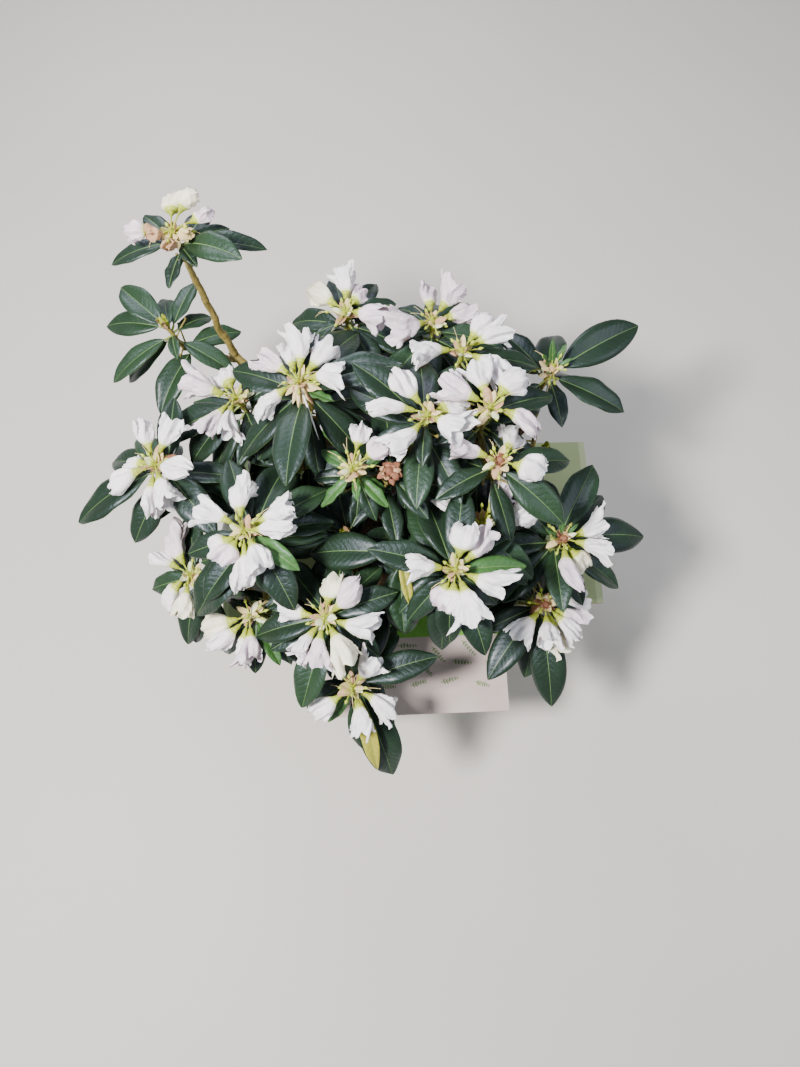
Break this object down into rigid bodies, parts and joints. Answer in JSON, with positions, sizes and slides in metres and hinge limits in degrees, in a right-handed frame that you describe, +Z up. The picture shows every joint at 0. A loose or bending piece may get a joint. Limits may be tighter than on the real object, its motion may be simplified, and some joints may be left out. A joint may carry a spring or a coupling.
{
  "type": "potted evergreen azalea shrub",
  "caption": "White-flowered evergreen shrub with leathery leaves in whorls, in a nursery pot inside a square plant carton with its flaps folded out.",
  "frame": {"origin": "middle of the carton's flat underside, at the mount base", "axes": "+Z up, -Y towards the printed front flap and the viewer, +X to the viewer's right"},
  "size_m": [0.6548, 0.5812, 0.5902],
  "materials": {
    "carton_board": "matt printed corrugated board",
    "green_board": "matt printed corrugated board",
    "pot_plastic": "moulded polypropylene",
    "soil": "moist peat",
    "bark": "young flaking bark",
    "foliage": "glossy leathery leaves and soft white petals"
  },
  "bodies": {
    "root": {"carton": "carton_board", "flap_front": "carton_board", "flap_back": "carton_board", "flap_right": "green_board", "flap_left": "green_board", "nursery_pot": "pot_plastic", "soil": "soil", "stem": "bark", "left_back_bough": "bark", "top_left_bough": "bark", "left_whorl_bough": "bark", "crown_left_bough": "bark", "back_bough": "bark", "left_bough": "bark", "front_left_bough": "bark", "front_bough": "bark", "front_right_bough": "bark", "right_low_bough": "bark", "right_bough": "bark", "crown_right_bough": "bark", "crown_bough": "bark", "top_left_foliage": "foliage", "left_whorl_foliage": "foliage", "back_foliage": "foliage", "crown_left_foliage": "foliage", "left_foliage": "foliage", "front_left_foliage": "foliage", "front_foliage": "foliage", "front_right_foliage": "foliage", "right_low_foliage": "foliage", "right_foliage": "foliage", "crown_right_foliage": "foliage", "crown_foliage": "foliage"}
  },
  "joints": []
}
